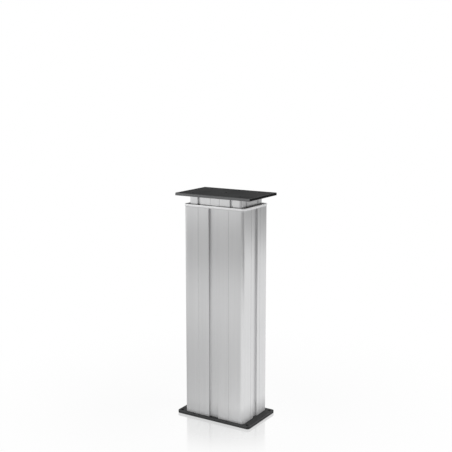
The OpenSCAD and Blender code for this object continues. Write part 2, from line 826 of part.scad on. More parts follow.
module bearing_nut() {
    nut_r = bearing_bore / 2 + 3.5;
    notch = 3;
    color("#8f9194") translate([0, 0, screw_foot]) difference() {
        cylinder(h = bearing_z - screw_foot, r = nut_r);
        translate([0, 0, -1]) cylinder(h = case_floor + 2, r = nut_seat_r + seat_gap / 5);
        for (a = [0 : 90 : 270]) rotate(a) translate([nut_r, 0, 0]) cube([notch, notch, 20], center = true);
    }
}

module end_stop() {
    color("#8f9194") translate([0, 0, stop_z]) difference() {
        cylinder(h = stop_t, r = push_bore_r - stop_gap);
        translate([0, 0, -1]) cylinder(h = stop_t + 2, r = 4 + seat_gap);
    }
}

module end_stop_screw() {
    color("#4a4b4d") translate([0, 0, stop_z]) {
        cylinder(h = stop_t + eps, r = 4);
        difference() {
            translate([0, 0, stop_t]) cylinder(h = 6, r = 6.5);
            translate([0, 0, stop_t + 3]) cylinder(h = 6, r = 3.4, $fn = 6);
        }
    }
}

module inner_profile() {
    color("#d2d4d6") translate([0, 0, inner_foot]) linear_extrude(inner_top - inner_foot) inner_section();
}

module top_plate() {
    color("#323335") difference() {
        translate([0, 0, inner_top]) chamfered_box(plate_l, plate_w, top_t, plate_chamfer);
        translate([0, 0, column_h]) {
            at_corners(inner_port_x, inner_port_y) countersink(top_screw_d, top_t);
            countersink(head_bolt_d, top_t);
        }
    }
}

module top_screw(c) {
    color("#2c2d2f") translate([c[0] * inner_port_x, c[1] * inner_port_y, column_h])
        countersunk_screw(top_screw_d, top_t + top_screw_reach);
}

module push_tube() {
    color("#9a9ca0") difference() {
        translate([0, 0, tube_foot]) cylinder(h = tube_top - tube_foot, r = push_tube_r);
        translate([0, 0, tube_foot - 1]) cylinder(h = tube_top - tube_foot + 2, r = push_bore_r);
        translate([0, 0, nut_pin_z]) rotate([90, 0, 0])
            cylinder(h = push_tube_d + 2, r = nut_pin_r + seat_gap, center = true);
    }
}

module push_head() {
    color("#8f9194") difference() {
        union() {
            translate([0, 0, tube_top]) cylinder(h = push_head_t, d = push_head_d);
            translate([0, 0, tube_top - spigot_h]) cylinder(h = spigot_h + eps, r = push_bore_r - seat_gap);
        }
        translate([0, 0, tube_top - spigot_h - 1])
            cylinder(h = spigot_h + push_head_t + 2, r = head_bolt_d / 2 + seat_gap);
    }
}

module head_bolt() {
    color("#2c2d2f") translate([0, 0, column_h])
        countersunk_screw(head_bolt_d, top_t + push_head_t + spigot_h - 4);
}

module drive_nut() {
    color("#b08d4a") difference() {
        union() {
            translate([0, 0, tube_foot - eps]) cylinder(h = nut_len + eps, r = push_bore_r - seat_gap);
            translate([0, 0, nut_foot]) cylinder(h = nut_flange_t, r = push_tube_r);
        }
        translate([0, 0, nut_foot - 1]) cylinder(h = nut_len + nut_flange_t + 2, r = screw_d / 2 + run_gap);
        for (s = [-1, 1]) translate([0, 0, nut_pin_z]) rotate([s * 90, 0, 0])
            translate([0, 0, nut_pin_tip - seat_gap]) cylinder(h = push_tube_r, r = nut_pin_r + seat_gap);
    }
}

module nut_pin(side) {
    color("#4a4b4d") translate([0, 0, nut_pin_z]) rotate([-side * 90, 0, 0]) translate([0, 0, nut_pin_tip])
        cylinder(h = push_tube_r - nut_pin_tip, r = nut_pin_r);
}

base_plate();
base_screw(corners[0]);  // base_screw_fl
base_screw(corners[1]);  // base_screw_fr
base_screw(corners[2]);  // base_screw_bl
base_screw(corners[3]);  // base_screw_br
outer_profile();
collar();
wiper_ring();
upper_glide(-1);  // upper_glide_left
upper_glide(1);  // upper_glide_right
gear_case();
gear_cover();
case_screw(0);  // case_screw_1
case_screw(1);  // case_screw_2
case_screw(2);  // case_screw_3
case_screw(3);  // case_screw_4
bearing_outer_ring();
cover_bush();
gearhead();
motor_can();
motor_cap();
hall_board();
inlet_socket();
motor_lead();
lead_screw();
spindle_gear();
bearing_inner_ring();
bearing_balls();
bearing_nut();
end_stop();
end_stop_screw();
pinion_shaft();
pinion();
inner_profile();
top_plate();
top_screw(corners[0]);  // top_screw_fl
top_screw(corners[1]);  // top_screw_fr
top_screw(corners[2]);  // top_screw_bl
top_screw(corners[3]);  // top_screw_br
push_tube();
push_head();
head_bolt();
drive_nut();
nut_pin(-1);  // nut_pin_front
nut_pin(1);  // nut_pin_back
lower_glide();
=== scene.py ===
import math

import bmesh
import bpy
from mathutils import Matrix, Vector


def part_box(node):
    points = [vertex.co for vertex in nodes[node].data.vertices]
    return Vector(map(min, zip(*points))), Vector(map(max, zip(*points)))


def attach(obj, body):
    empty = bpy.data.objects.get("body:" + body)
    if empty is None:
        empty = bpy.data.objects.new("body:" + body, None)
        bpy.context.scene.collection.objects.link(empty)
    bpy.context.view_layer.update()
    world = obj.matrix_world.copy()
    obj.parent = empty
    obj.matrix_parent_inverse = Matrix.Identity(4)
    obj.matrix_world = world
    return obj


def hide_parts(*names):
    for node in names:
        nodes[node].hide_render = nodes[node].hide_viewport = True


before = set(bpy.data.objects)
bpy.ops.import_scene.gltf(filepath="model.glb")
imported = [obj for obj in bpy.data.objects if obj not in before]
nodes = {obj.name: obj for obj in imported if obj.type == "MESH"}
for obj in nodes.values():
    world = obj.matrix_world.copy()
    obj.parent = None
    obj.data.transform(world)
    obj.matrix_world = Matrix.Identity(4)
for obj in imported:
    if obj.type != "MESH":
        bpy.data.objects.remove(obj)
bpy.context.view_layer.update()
scene = bpy.context.scene
print("frame loaded:", len(nodes), "solids")

plateLow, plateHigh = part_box("base_plate")
topLow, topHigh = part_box("top_plate")
outerLow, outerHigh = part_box("outer_profile")
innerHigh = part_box("inner_profile")[1]
screwLow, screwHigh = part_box("lead_screw")

# it is aimed high on the retracted column, so that the extended one fits the picture as well
cameraSetup = {
    "eye": (1.318, -2.120, 1.014),
    "aimHeight": 0.6055,
    "lens": 68.4,
    "shiftDown": -0.020,
    "clip": (0.05, 60),
}

cameraData = bpy.data.cameras.new("camera")
cameraData.lens = cameraSetup["lens"]
cameraData.shift_y = cameraSetup["shiftDown"]
cameraData.clip_start, cameraData.clip_end = cameraSetup["clip"]
camera = bpy.data.objects.new("camera", cameraData)
scene.collection.objects.link(camera)
camera.location = cameraSetup["eye"]
aim = Vector((0, 0, cameraSetup["aimHeight"])) - camera.location
camera.rotation_mode = "QUATERNION"
camera.rotation_quaternion = aim.to_track_quat("-Z", "Y")
scene.camera = camera
scene.view_settings.view_transform = "Standard"
print("camera placed")


def addNode(tree, kind, **settings):
    node = tree.nodes.new(kind)
    for name, value in settings.items():
        setattr(node, name, value)
    return node


def setInput(tree, socket, value):
    # value is another node's output, or a number or colour for the socket itself
    if isinstance(value, bpy.types.NodeSocket):
        tree.links.new(value, socket)
    elif value is not None:
        socket.default_value = value


def mathNode(tree, operation, a, b=None):
    node = addNode(tree, "ShaderNodeMath", operation=operation)
    for socket, value in zip(node.inputs, (a, b)):
        setInput(tree, socket, value)
    return node.outputs[0]


def vectorNode(tree, operation, a, b=None):
    node = addNode(tree, "ShaderNodeVectorMath", operation=operation)
    for socket, value in zip(node.inputs, (a, b)):
        setInput(tree, socket, value)
    return node.outputs["Vector" if operation in ("MULTIPLY", "NORMALIZE") else "Value"]


def splitNode(tree, vector):
    node = addNode(tree, "ShaderNodeSeparateXYZ")
    tree.links.new(vector, node.inputs[0])
    return node.outputs


def rangeNode(tree, value, fromLow, fromHigh, toLow, toHigh, smooth=False):
    node = addNode(tree, "ShaderNodeMapRange", interpolation_type="SMOOTHSTEP" if smooth else "LINEAR")
    for name, item in (("Value", value), ("From Min", fromLow), ("From Max", fromHigh),
                       ("To Min", toLow), ("To Max", toHigh)):
        setInput(tree, node.inputs[name], item)
    return node.outputs["Result"]


def mixColour(tree, factor, a, b):
    node = addNode(tree, "ShaderNodeMix", data_type="RGBA")
    for index, value in ((0, factor), (6, a), (7, b)):
        setInput(tree, node.inputs[index], value)
    return node.outputs[2]


def mixValue(tree, factor, a, b):
    node = addNode(tree, "ShaderNodeMix", data_type="FLOAT")
    for index, value in ((0, factor), (2, a), (3, b)):
        setInput(tree, node.inputs[index], value)
    return node.outputs[0]


def noiseNode(tree, vector, scale, detail=2, roughness=0.5, stretch=None):
    if stretch:
        vector = vectorNode(tree, "MULTIPLY", vector, stretch)
    node = addNode(tree, "ShaderNodeTexNoise")
    for name, value in (("Vector", vector), ("Scale", scale), ("Detail", detail), ("Roughness", roughness)):
        setInput(tree, node.inputs[name], value)
    return node.outputs["Fac"]


def weighSum(tree, patterns, shares):
    total = None
    for name, share in shares.items():
        part = patterns[name] if share == 1 else mathNode(tree, "MULTIPLY", patterns[name], share)
        total = part if total is None else mathNode(tree, "ADD", total, part)
    return total


def startGroup(name, inputs, outputs):
    group = bpy.data.node_groups.new(name, "ShaderNodeTree")
    for socketName, kind, value in inputs:
        socket = group.interface.new_socket(name=socketName, in_out="INPUT",
                                            socket_type="NodeSocket" + kind)
        if value is not None:
            socket.default_value = value
    for socketName, kind in outputs:
        group.interface.new_socket(name=socketName, in_out="OUTPUT", socket_type="NodeSocket" + kind)
    return group, group.nodes.new("NodeGroupInput").outputs, group.nodes.new("NodeGroupOutput").inputs


def placeGroup(tree, group, place, values):
    node = addNode(tree, "ShaderNodeGroup", node_tree=group)
    tree.links.new(place, node.inputs["Vector"])
    for name, value in values.items():
        node.inputs[name].default_value = value
    return node.outputs


# each grain is made of noise patterns, and the first one's scale is an input of the group; shade, wear and
# height are sums of them by their shares; over a span, shade goes from dark to light and wear from smooth
# to rough
grainSetups = {
    # fine die lines along the length, broad faint bands, and the even grain that anodising leaves
    "extrusion": {
        "patterns": {"lines": {"scale": 1500, "detail": 3, "roughness": 0.6, "stretch": (1, 1, 0.003)},
                     "bands": {"scale": 95, "stretch": (1, 1, 0.02)},
                     "grain": {"scale": 2600, "detail": 1},
                     "clouds": {"scale": 9, "detail": 3}},
        "shade": {"lines": 0.55, "bands": 0.45}, "shadeSpan": (0.32, 0.68),
        "wear": {"lines": 0.5, "clouds": 0.5}, "wearSpan": (0.35, 0.65),
        "height": {"lines": 0.7, "grain": 0.3},
    },
    # orange peel of a powder coat, with fine lighter specks
    "coat": {
        "patterns": {"peel": {"scale": 900},
                     "specks": {"scale": 3200, "detail": 1},
                     "clouds": {"scale": 14, "detail": 3}},
        "shade": {"specks": 0.5, "clouds": 0.5}, "shadeSpan": (0.36, 0.66),
        "wear": {"clouds": 1}, "wearSpan": (0.35, 0.65),
        "height": {"peel": 0.8, "specks": 0.2},
    },
    # even matt grain of blasted, cast or moulded surfaces
    "blast": {
        "patterns": {"grain": {"scale": 1800, "roughness": 0.65},
                     "clouds": {"scale": 22, "detail": 3}},
        "shade": {"grain": 0.4, "clouds": 0.6}, "shadeSpan": (0.35, 0.65),
        "wear": {"grain": 1}, "wearSpan": (0.3, 0.7),
        "height": {"grain": 1},
    },
    # rings left by the tool on turned and drawn steel, bronze and plastic
    "turned": {
        "patterns": {"rings": {"scale": 2400, "roughness": 0.6, "stretch": (0.02, 0.02, 1)},
                     "clouds": {"scale": 40, "detail": 3}},
        "shade": {"rings": 0.5, "clouds": 0.5}, "shadeSpan": (0.34, 0.66),
        "wear": {"rings": 1}, "wearSpan": (0.3, 0.7),
        "height": {"rings": 1},
    },
}


def makeGrain(name, setup):
    first = next(iter(setup["patterns"]))
    scaleInput = first.capitalize()
    group, given, result = startGroup(
        name + "Grain",
        [("Vector", "Vector", None), ("Light", "Color", (0.8, 0.8, 0.8, 1)),
         ("Dark", "Color", (0.6, 0.6, 0.6, 1)), ("Smooth", "Float", 0.3), ("Rough", "Float", 0.45),
         (scaleInput, "Float", setup["patterns"][first]["scale"])],
        [("Color", "Color"), ("Roughness", "Float"), ("Height", "Float")])
    patterns = {}
    for patternName, pattern in setup["patterns"].items():
        settings = dict(pattern)
        if patternName == first:
            settings["scale"] = given[scaleInput]
        patterns[patternName] = noiseNode(group, given["Vector"], **settings)
    shade = rangeNode(group, weighSum(group, patterns, setup["shade"]), *setup["shadeSpan"], 0, 1)
    group.links.new(mixColour(group, shade, given["Dark"], given["Light"]), result["Color"])
    wear = rangeNode(group, weighSum(group, patterns, setup["wear"]), *setup["wearSpan"], given["Smooth"],
                     given["Rough"])
    group.links.new(wear, result["Roughness"])
    group.links.new(weighSum(group, patterns, setup["height"]), result["Height"])
    return group


# bare is the colour along a plate's arrises, where its coat is thin
arrisSetup = {
    "width": 0.0011,
    "bare": (0.11, 0.112, 0.115),
    "ragged": {"scale": 260, "detail": 4, "roughness": 0.7},
    "raggedSpan": (0.3, 0.7),
    "leastShare": 0.6,  # of the width, where it is narrowest
    "fade": (0.5, 1),  # shares of the width between which the wear dies out
    "litSideFade": (0.0001, 0.0003),  # distances from a long side between which its painted light dies out
}


def makeArrisWearAndLitSide():
    # for a plate whose outline and faces are given: Wear is 1 along its arrises, and the other mask
    # is 1 on its front and back, where painted light goes
    group, given, result = startGroup(
        "arrisWearAndLitSide",
        [("Vector", "Vector", None), ("Half Length", "Float", 0.1), ("Half Width", "Float", 0.1),
         ("Low", "Float", 0.0), ("High", "Float", 0.01), ("Width", "Float", 0.001)],
        [("Wear", "Float"), ("Lit Long Side", "Float")])
    x, y, z = splitNode(group, given["Vector"])
    fromEnd = mathNode(group, "SUBTRACT", given["Half Length"], mathNode(group, "ABSOLUTE", x))
    fromSide = mathNode(group, "SUBTRACT", given["Half Width"], mathNode(group, "ABSOLUTE", y))
    fromOutline = mathNode(group, "MINIMUM", fromEnd, fromSide)
    fromFace = mathNode(group, "MINIMUM", mathNode(group, "SUBTRACT", given["High"], z),
                        mathNode(group, "SUBTRACT", z, given["Low"]))
    ragged = rangeNode(group, noiseNode(group, given["Vector"], **arrisSetup["ragged"]),
                       *arrisSetup["raggedSpan"], arrisSetup["leastShare"], 1)
    fromArris = mathNode(group, "MAXIMUM", fromOutline, fromFace)
    share = mathNode(group, "DIVIDE", fromArris, mathNode(group, "MULTIPLY", given["Width"], ragged))
    group.links.new(rangeNode(group, share, *arrisSetup["fade"], 1, 0, smooth=True), result["Wear"])
    group.links.new(rangeNode(group, fromSide, *arrisSetup["litSideFade"], 1, 0), result["Lit Long Side"])
    return group


# painted shade: darker colours on the profiles' channel walls and in their grooves, where shade falls
recessShadeSetup = {
    "rim": (0.00006, 0.0003),  # depths between which a recess begins
    "floor": (0.0002, 0.0007),  # heights over the channels' floor between which the painted shade comes in
    "narrowShare": 0.2,  # how much of the painted shade the narrow sides' channels get
    "grooveHalf": 0.0006,
    # the colour of the painted shade in the narrow sides' grooves
    "groove": (0.08, 0.08, 0.082),
}


def makeRecessShade():
    # masks of painted shade for a rounded box section: one is 1 in its grooves and on its channels'
    # walls, and less on the narrow sides; the other is 1 in the narrow sides' grooves, Groove from the
    # middle
    group, given, result = startGroup(
        "recessShade",
        [("Vector", "Vector", None), ("Half Length", "Float", 0.1), ("Half Width", "Float", 0.07),
         ("Corner", "Float", 0.01), ("Bottom", "Float", 0.005), ("Groove", "Float", 0.03)],
        [("Recess Shade", "Float"), ("End Groove Shade", "Float")])
    x, y, _ = splitNode(group, given["Vector"])
    corner = given["Corner"]
    past = []
    for across, half in ((x, "Half Length"), (y, "Half Width")):
        straight = mathNode(group, "SUBTRACT", given[half], corner)
        past.append(mathNode(group, "SUBTRACT", mathNode(group, "ABSOLUTE", across), straight))
    squares = [mathNode(group, "POWER", mathNode(group, "MAXIMUM", value, 0), 2) for value in past]
    outside = mathNode(group, "SQRT", mathNode(group, "ADD", *squares))
    inside = mathNode(group, "MINIMUM", mathNode(group, "MAXIMUM", *past), 0)
    depth = mathNode(group, "SUBTRACT", mathNode(group, "SUBTRACT", corner, outside), inside)
    below = rangeNode(group, depth, *recessShadeSetup["rim"], 0, 1, smooth=True)
    overFloor = mathNode(group, "SUBTRACT", given["Bottom"], depth)
    above = rangeNode(group, overFloor, *recessShadeSetup["floor"], 0, 1, smooth=True)
    narrow = mathNode(group, "GREATER_THAN", past[0], past[1])
    share = rangeNode(group, narrow, 0, 1, 1, recessShadeSetup["narrowShare"])
    shade = mathNode(group, "MULTIPLY", mathNode(group, "MULTIPLY", below, above), share)
    group.links.new(shade, result["Recess Shade"])
    fromGroove = mathNode(group, "SUBTRACT", mathNode(group, "ABSOLUTE", y), given["Groove"])
    atGroove = mathNode(group, "LESS_THAN", mathNode(group, "ABSOLUTE", fromGroove),
                        recessShadeSetup["grooveHalf"])
    endGrooveShade = mathNode(group, "MULTIPLY", mathNode(group, "MULTIPLY", below, narrow), atGroove)
    group.links.new(endGrooveShade, result["End Groove Shade"])
    return group


grains = {name: makeGrain(name, setup) for name, setup in grainSetups.items()}
arrisWearAndLitSide = makeArrisWearAndLitSide()
recessShade = makeRecessShade()


# light and dark are the two ends of the surface's own colour, and smooth and rough those of its roughness
finishes = {
    "outerAlu": {
        "grain": "extrusion", "light": (0.79, 0.792, 0.796), "dark": (0.73, 0.732, 0.736),
        "smooth": 0.28, "rough": 0.33, "metal": 0.9, "bump": 0.04, "depth": 0.00002, "brushed": 0.85,
        "dullFoot": {"rough": 0.60, "metal": 0.25, "fade": (0.016, 0.055)},  # heights over its foot
    },
    "innerAlu": {
        "grain": "extrusion", "light": (0.84, 0.842, 0.846), "dark": (0.78, 0.782, 0.786),
        "smooth": 0.28, "rough": 0.33, "metal": 0.9, "bump": 0.04, "depth": 0.00002, "brushed": 0.85,
    },
    "collarAlu": {
        "grain": "blast", "light": (0.97, 0.971, 0.974), "dark": (0.93, 0.931, 0.934),
        "smooth": 0.34, "rough": 0.46, "metal": 0.4, "bump": 0.12, "depth": 0.00003,
        "band": {"shade": (0.70, 0.702, 0.706), "fade": (0.0020, 0.0026)},  # heights over the outer profile
    },
    "wiperGrey": {
        "grain": "blast", "light": (0.26, 0.262, 0.266), "dark": (0.20, 0.202, 0.206),
        "smooth": 0.55, "rough": 0.75, "metal": 0.0, "bump": 0.2, "depth": 0.00004,
    },
    "basePlateCoat": {
        "grain": "coat", "light": (0.050, 0.0505, 0.051), "dark": (0.034, 0.0345, 0.035),
        "smooth": 0.50, "rough": 0.64, "metal": 0.0, "bump": 0.3, "depth": 0.00006, "gloss": 0.08,
    },
    # the same black coat as the base plate's, made darker: painted shade over the whole top plate
    "topPlateShadedCoat": {
        "grain": "coat", "light": (0.018, 0.0183, 0.0187), "dark": (0.010, 0.0102, 0.0105),
        "smooth": 0.50, "rough": 0.64, "metal": 0.0, "bump": 0.3, "depth": 0.00006, "gloss": 0.02,
    },
    "blackScrew": {
        "grain": "blast", "light": (0.035, 0.035, 0.037), "dark": (0.018, 0.018, 0.020),
        "smooth": 0.32, "rough": 0.48, "metal": 0.6, "bump": 0.15, "depth": 0.00002,
    },
    "flushScrew": {
        "grain": "blast", "light": (0.020, 0.0203, 0.0207), "dark": (0.011, 0.0112, 0.0115),
        "smooth": 0.50, "rough": 0.62, "metal": 0.0, "bump": 0.15, "depth": 0.00002, "gloss": 0.02,
    },
    "whiteGlide": {
        "grain": "turned", "light": (0.78, 0.77, 0.73), "dark": (0.70, 0.69, 0.65),
        "smooth": 0.34, "rough": 0.48, "metal": 0.0, "bump": 0.1, "depth": 0.00002,
    },
    "castAlu": {
        "grain": "blast", "light": (0.58, 0.58, 0.59), "dark": (0.42, 0.42, 0.43),
        "smooth": 0.42, "rough": 0.62, "metal": 1.0, "bump": 0.5, "depth": 0.00010,
    },
    "steel": {
        "grain": "turned", "light": (0.62, 0.62, 0.63), "dark": (0.50, 0.50, 0.51),
        "smooth": 0.20, "rough": 0.34, "metal": 1.0, "bump": 0.15, "depth": 0.00003,
    },
    "motorSteel": {
        "grain": "blast", "light": (0.36, 0.36, 0.37), "dark": (0.26, 0.26, 0.27),
        "smooth": 0.34, "rough": 0.50, "metal": 1.0, "bump": 0.2, "depth": 0.00004,
    },
    "bronze": {
        "grain": "turned", "light": (0.66, 0.46, 0.20), "dark": (0.52, 0.34, 0.13),
        "smooth": 0.26, "rough": 0.42, "metal": 1.0, "bump": 0.15, "depth": 0.00003,
    },
    "gearPlastic": {
        "grain": "blast", "light": (0.74, 0.70, 0.58), "dark": (0.66, 0.62, 0.50),
        "smooth": 0.36, "rough": 0.52, "metal": 0.0, "bump": 0.15, "depth": 0.00003,
    },
    "blackPlastic": {
        "grain": "blast", "light": (0.022, 0.022, 0.024), "dark": (0.013, 0.013, 0.014),
        "smooth": 0.36, "rough": 0.52, "metal": 0.0, "bump": 0.25, "depth": 0.00004,
    },
    "circuitBoard": {
        "grain": "blast", "light": (0.04, 0.18, 0.08), "dark": (0.02, 0.11, 0.05),
        "smooth": 0.22, "rough": 0.36, "metal": 0.0, "bump": 0.1, "depth": 0.00002,
    },
}

# side is painted light on a plate's long sides: a lighter tone for the light that its front and back catch
plates = {
    "basePlateCoat": {"low": plateLow, "high": plateHigh, "side": (0.060, 0.0605, 0.061)},
    "topPlateShadedCoat": {"low": topLow, "high": topHigh, "side": (0.190, 0.191, 0.193)},
}

# bottom is the depth of the shallowest channel, and groove the place of the narrow sides' fine grooves
# shade is the painted shade on the channels' walls and in the grooves
sections = {
    "outerAlu": {"high": outerHigh, "corner": 0.0100, "bottom": 0.0055, "groove": 0.0256,
                 "shade": (0.52, 0.522, 0.525)},
    "innerAlu": {"high": innerHigh, "corner": 0.0087, "bottom": 0.0016, "groove": 0.0324,
                 "shade": (0.50, 0.502, 0.505)},
}


# paints wear along a plate's arrises, and painted light on its front and back
def toneArrisesAndLitSides(tree, place, colour, plate):
    low, high = plate["low"], plate["high"]
    wear = placeGroup(tree, arrisWearAndLitSide, place, {"Half Length": high.x, "Half Width": high.y, "Low": low.z,
                                               "High": high.z, "Width": arrisSetup["width"]})
    colour = mixColour(tree, wear["Lit Long Side"], colour, (*plate["side"], 1))
    return mixColour(tree, wear["Wear"], colour, (*arrisSetup["bare"], 1))


# paints shade onto a section: its channels' walls and its grooves are given darker colours
def shadeRecesses(tree, place, colour, section):
    high = section["high"]
    groove = placeGroup(tree, recessShade, place, {"Half Length": high.x, "Half Width": high.y,
                                              "Corner": section["corner"], "Bottom": section["bottom"],
                                              "Groove": section["groove"]})
    colour = mixColour(tree, groove["Recess Shade"], colour, (*section["shade"], 1))
    return mixColour(tree, groove["End Groove Shade"], colour, (*recessShadeSetup["groove"], 1))


def fadeUp(tree, place, base, fade, smooth=False):
    # 1 below the first height of fade, and 0 above the second, both measured from base
    return rangeNode(tree, splitNode(tree, place)["Z"], base + fade[0], base + fade[1], 1, 0, smooth)


def makeMaterial(name, finish):
    material = bpy.data.materials.new(name)
    material.use_nodes = True
    tree = material.node_tree
    shader = tree.nodes["Principled BSDF"]
    shader.inputs["Metallic"].default_value = finish["metal"]
    shader.inputs["Specular IOR Level"].default_value = finish.get("gloss", 0.5)
    place = addNode(tree, "ShaderNodeTexCoord").outputs["Object"]
    grain = placeGroup(tree, grains[finish["grain"]], place, {
        "Light": (*finish["light"], 1), "Dark": (*finish["dark"], 1), "Smooth": finish["smooth"],
        "Rough": finish["rough"]})
    colour, roughness = grain["Color"], grain["Roughness"]
    # worn arrises, and painted light on the plates' long sides
    if name in plates:
        colour = toneArrisesAndLitSides(tree, place, colour, plates[name])
    # painted shade in the profiles' channels and grooves
    if name in sections:
        colour = shadeRecesses(tree, place, colour, sections[name])
    if "band" in finish:  # the collar's band has the tone of the profile that it is flush with
        under = fadeUp(tree, place, outerHigh.z, finish["band"]["fade"])
        colour = mixColour(tree, under, colour, (*finish["band"]["shade"], 1))
    if "dullFoot" in finish:  # so that it mirrors the base plate only softly
        dull = finish["dullFoot"]
        foot = fadeUp(tree, place, outerLow.z, dull["fade"], smooth=True)
        roughness = rangeNode(tree, foot, 0, 1, roughness, dull["rough"])
        metal = rangeNode(tree, foot, 0, 1, finish["metal"], dull["metal"])
        tree.links.new(metal, shader.inputs["Metallic"])
    tree.links.new(colour, shader.inputs["Base Color"])
    tree.links.new(roughness, shader.inputs["Roughness"])
    if "brushed" in finish:  # blurs what is mirrored across the die lines, and hardly along them
        shader.inputs["Anisotropic"].default_value = finish["brushed"]
        tangent = addNode(tree, "ShaderNodeTangent", direction_type="RADIAL", axis="Z")
        tree.links.new(tangent.outputs["Tangent"], shader.inputs["Tangent"])
    bump = addNode(tree, "ShaderNodeBump")
    bump.inputs["Strength"].default_value = finish["bump"]
    bump.inputs["Distance"].default_value = finish["depth"]
    tree.links.new(grain["Height"], bump.inputs["Height"])
    tree.links.new(bump.outputs["Normal"], shader.inputs["Normal"])
    return material


materials = {name: makeMaterial(name, finish) for name, finish in finishes.items()}

nodesOfMaterial = {
    "basePlateCoat": ["base_plate"],
    "topPlateShadedCoat": ["top_plate"],
    "outerAlu": ["outer_profile"],
    "innerAlu": ["inner_profile"],
    "collarAlu": ["collar"],
    "wiperGrey": ["wiper_ring"],
    "flushScrew": ["top_screw_fl", "top_screw_fr", "top_screw_bl", "top_screw_br", "head_bolt"],
    "blackScrew": ["base_screw_fl", "base_screw_fr", "base_screw_bl", "base_screw_br", "case_screw_1",
                   "case_screw_2", "case_screw_3", "case_screw_4", "end_stop_screw", "nut_pin_front",
                   "nut_pin_back"],
    "whiteGlide": ["upper_glide_left", "upper_glide_right", "lower_glide"],
    "castAlu": ["gear_case", "gear_cover", "push_head"],
    "steel": ["bearing_outer_ring", "bearing_inner_ring", "lead_screw", "pinion_shaft", "pinion",
              "push_tube", "end_stop", "bearing_nut"],
    "motorSteel": ["motor_can", "gearhead"],
    "bronze": ["drive_nut", "cover_bush", "bearing_balls"],
    "gearPlastic": ["spindle_gear"],
    "blackPlastic": ["motor_cap", "inlet_socket", "motor_lead"],
    "circuitBoard": ["hall_board"],
}
for materialName, nodeNames in nodesOfMaterial.items():
    for nodeName in nodeNames:
        mesh = nodes[nodeName].data
        mesh.materials.clear()
        mesh.materials.append(materials[materialName])
print("materials made:", len(materials))


# the edges of these pieces are broken a little, as deburring and moulding leave them
softEdges = {
    "collarSoft": {"node": "collar", "body": "base", "slot": "collar_alu", "width": 0.0006, "steps": 3},
    "wiperSoft": {"node": "wiper_ring", "body": "base", "slot": "wiper_grey", "width": 0.0004, "steps": 2},
    "socketSoft": {"node": "inlet_socket", "body": "base", "slot": "black_plastic", "width": 0.0005,
                   "steps": 2},
}
# angles are in degrees
edgeSetup = {"mergeWithin": 0.000002, "flatBelow": 0.5, "sharpAbove": 50, "smoothBelow": 35}


def makeSoftPiece(name, setup):
    bpy.ops.object.select_all(action="DESELECT")
    piece = bpy.data.objects.new(name, nodes[setup["node"]].data.copy())
    scene.collection.objects.link(piece)
    bpy.context.view_layer.objects.active = piece
    piece.select_set(True)
    bpy.ops.object.mode_set(mode="EDIT")
    bpy.ops.mesh.select_all(action="SELECT")
    bpy.ops.mesh.remove_doubles(threshold=edgeSetup["mergeWithin"])
    bpy.ops.mesh.dissolve_limited(angle_limit=math.radians(edgeSetup["flatBelow"]))
    bpy.ops.object.mode_set(mode="OBJECT")
    bevel = piece.modifiers.new("edges", "BEVEL")
    bevel.width = setup["width"]
    bevel.segments = setup["steps"]
    bevel.limit_method = "ANGLE"
    bevel.angle_limit = math.radians(edgeSetup["sharpAbove"])
    bpy.ops.object.modifier_apply(modifier="edges")
    bpy.ops.object.shade_smooth_by_angle(angle=math.radians(edgeSetup["smoothBelow"]))
    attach(piece, setup["body"])
    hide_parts(setup["node"])


for pieceName, setup in softEdges.items():
    makeSoftPiece(pieceName, setup)
print("soft-edged pieces made:", len(softEdges))


# the turned bar's steps are heights above the floor, each with the bar's radius from there up
leadScrewSetup = {
    "barSteps": [(screwLow.z, 0.0075), (0.012, 0.0085), (0.024, 0.0115), (0.027, 0.0095), (0.037, 0.0090),
                 (0.0535, 0.0066), (0.604, 0.0080)],
    "top": screwHigh.z,
    "chamfer": 0.0003,
    "barSides": 64,
    "lead": 0.008,
    "starts": 2,
    "turns": 68,
    "stepsPerTurn": 28,
    "threadFoot": 0.0555,
    "crest": (0.0090, 0.00146),  # radius, and the thread's width there
    "root": (0.0064, 0.00280),
    "sharpAbove": 50,  # degrees
    "smoothBelow": 30,
}


def selectTop(mesh):
    bpy.ops.mesh.select_all(action="DESELECT")
    edited = bmesh.from_edit_mesh(mesh)
    edited.faces.ensure_lookup_table()
    top = max(edited.faces, key=lambda face: face.calc_center_median().z)
    top.select_set(True)
    bmesh.update_edit_mesh(mesh)


def makeTurnedBar(setup):
    steps = setup["barSteps"]
    ends = [height for height, _ in steps[1:]] + [setup["top"]]
    foot, radius = steps[0]
    length = ends[0] - foot
    bpy.ops.object.select_all(action="DESELECT")
    bpy.ops.mesh.primitive_cylinder_add(vertices=setup["barSides"], radius=radius, depth=length,
                                        location=(0, 0, foot + length / 2))
    bar = bpy.context.object
    bpy.ops.object.transform_apply(location=True, rotation=True, scale=True)
    bpy.ops.object.mode_set(mode="EDIT")
    bpy.ops.mesh.select_mode(type="FACE")
    selectTop(bar.data)
    for (foot, radius), (_, lastRadius), end in zip(steps[1:], steps, ends[1:]):
        bpy.ops.mesh.extrude_region_move(TRANSFORM_OT_translate={"value": (0, 0, 0)})
        ratio = radius / lastRadius
        bpy.ops.transform.resize(value=(ratio, ratio, 1), center_override=(0, 0, foot))
        bpy.ops.mesh.extrude_region_move(TRANSFORM_OT_translate={"value": (0, 0, end - foot)})
    bpy.ops.object.mode_set(mode="OBJECT")
    bevel = bar.modifiers.new("chamfers", "BEVEL")
    bevel.width = setup["chamfer"]
    bevel.segments = 1
    bevel.angle_limit = math.radians(setup["sharpAbove"])
    bpy.ops.object.modifier_apply(modifier="chamfers")
    return bar


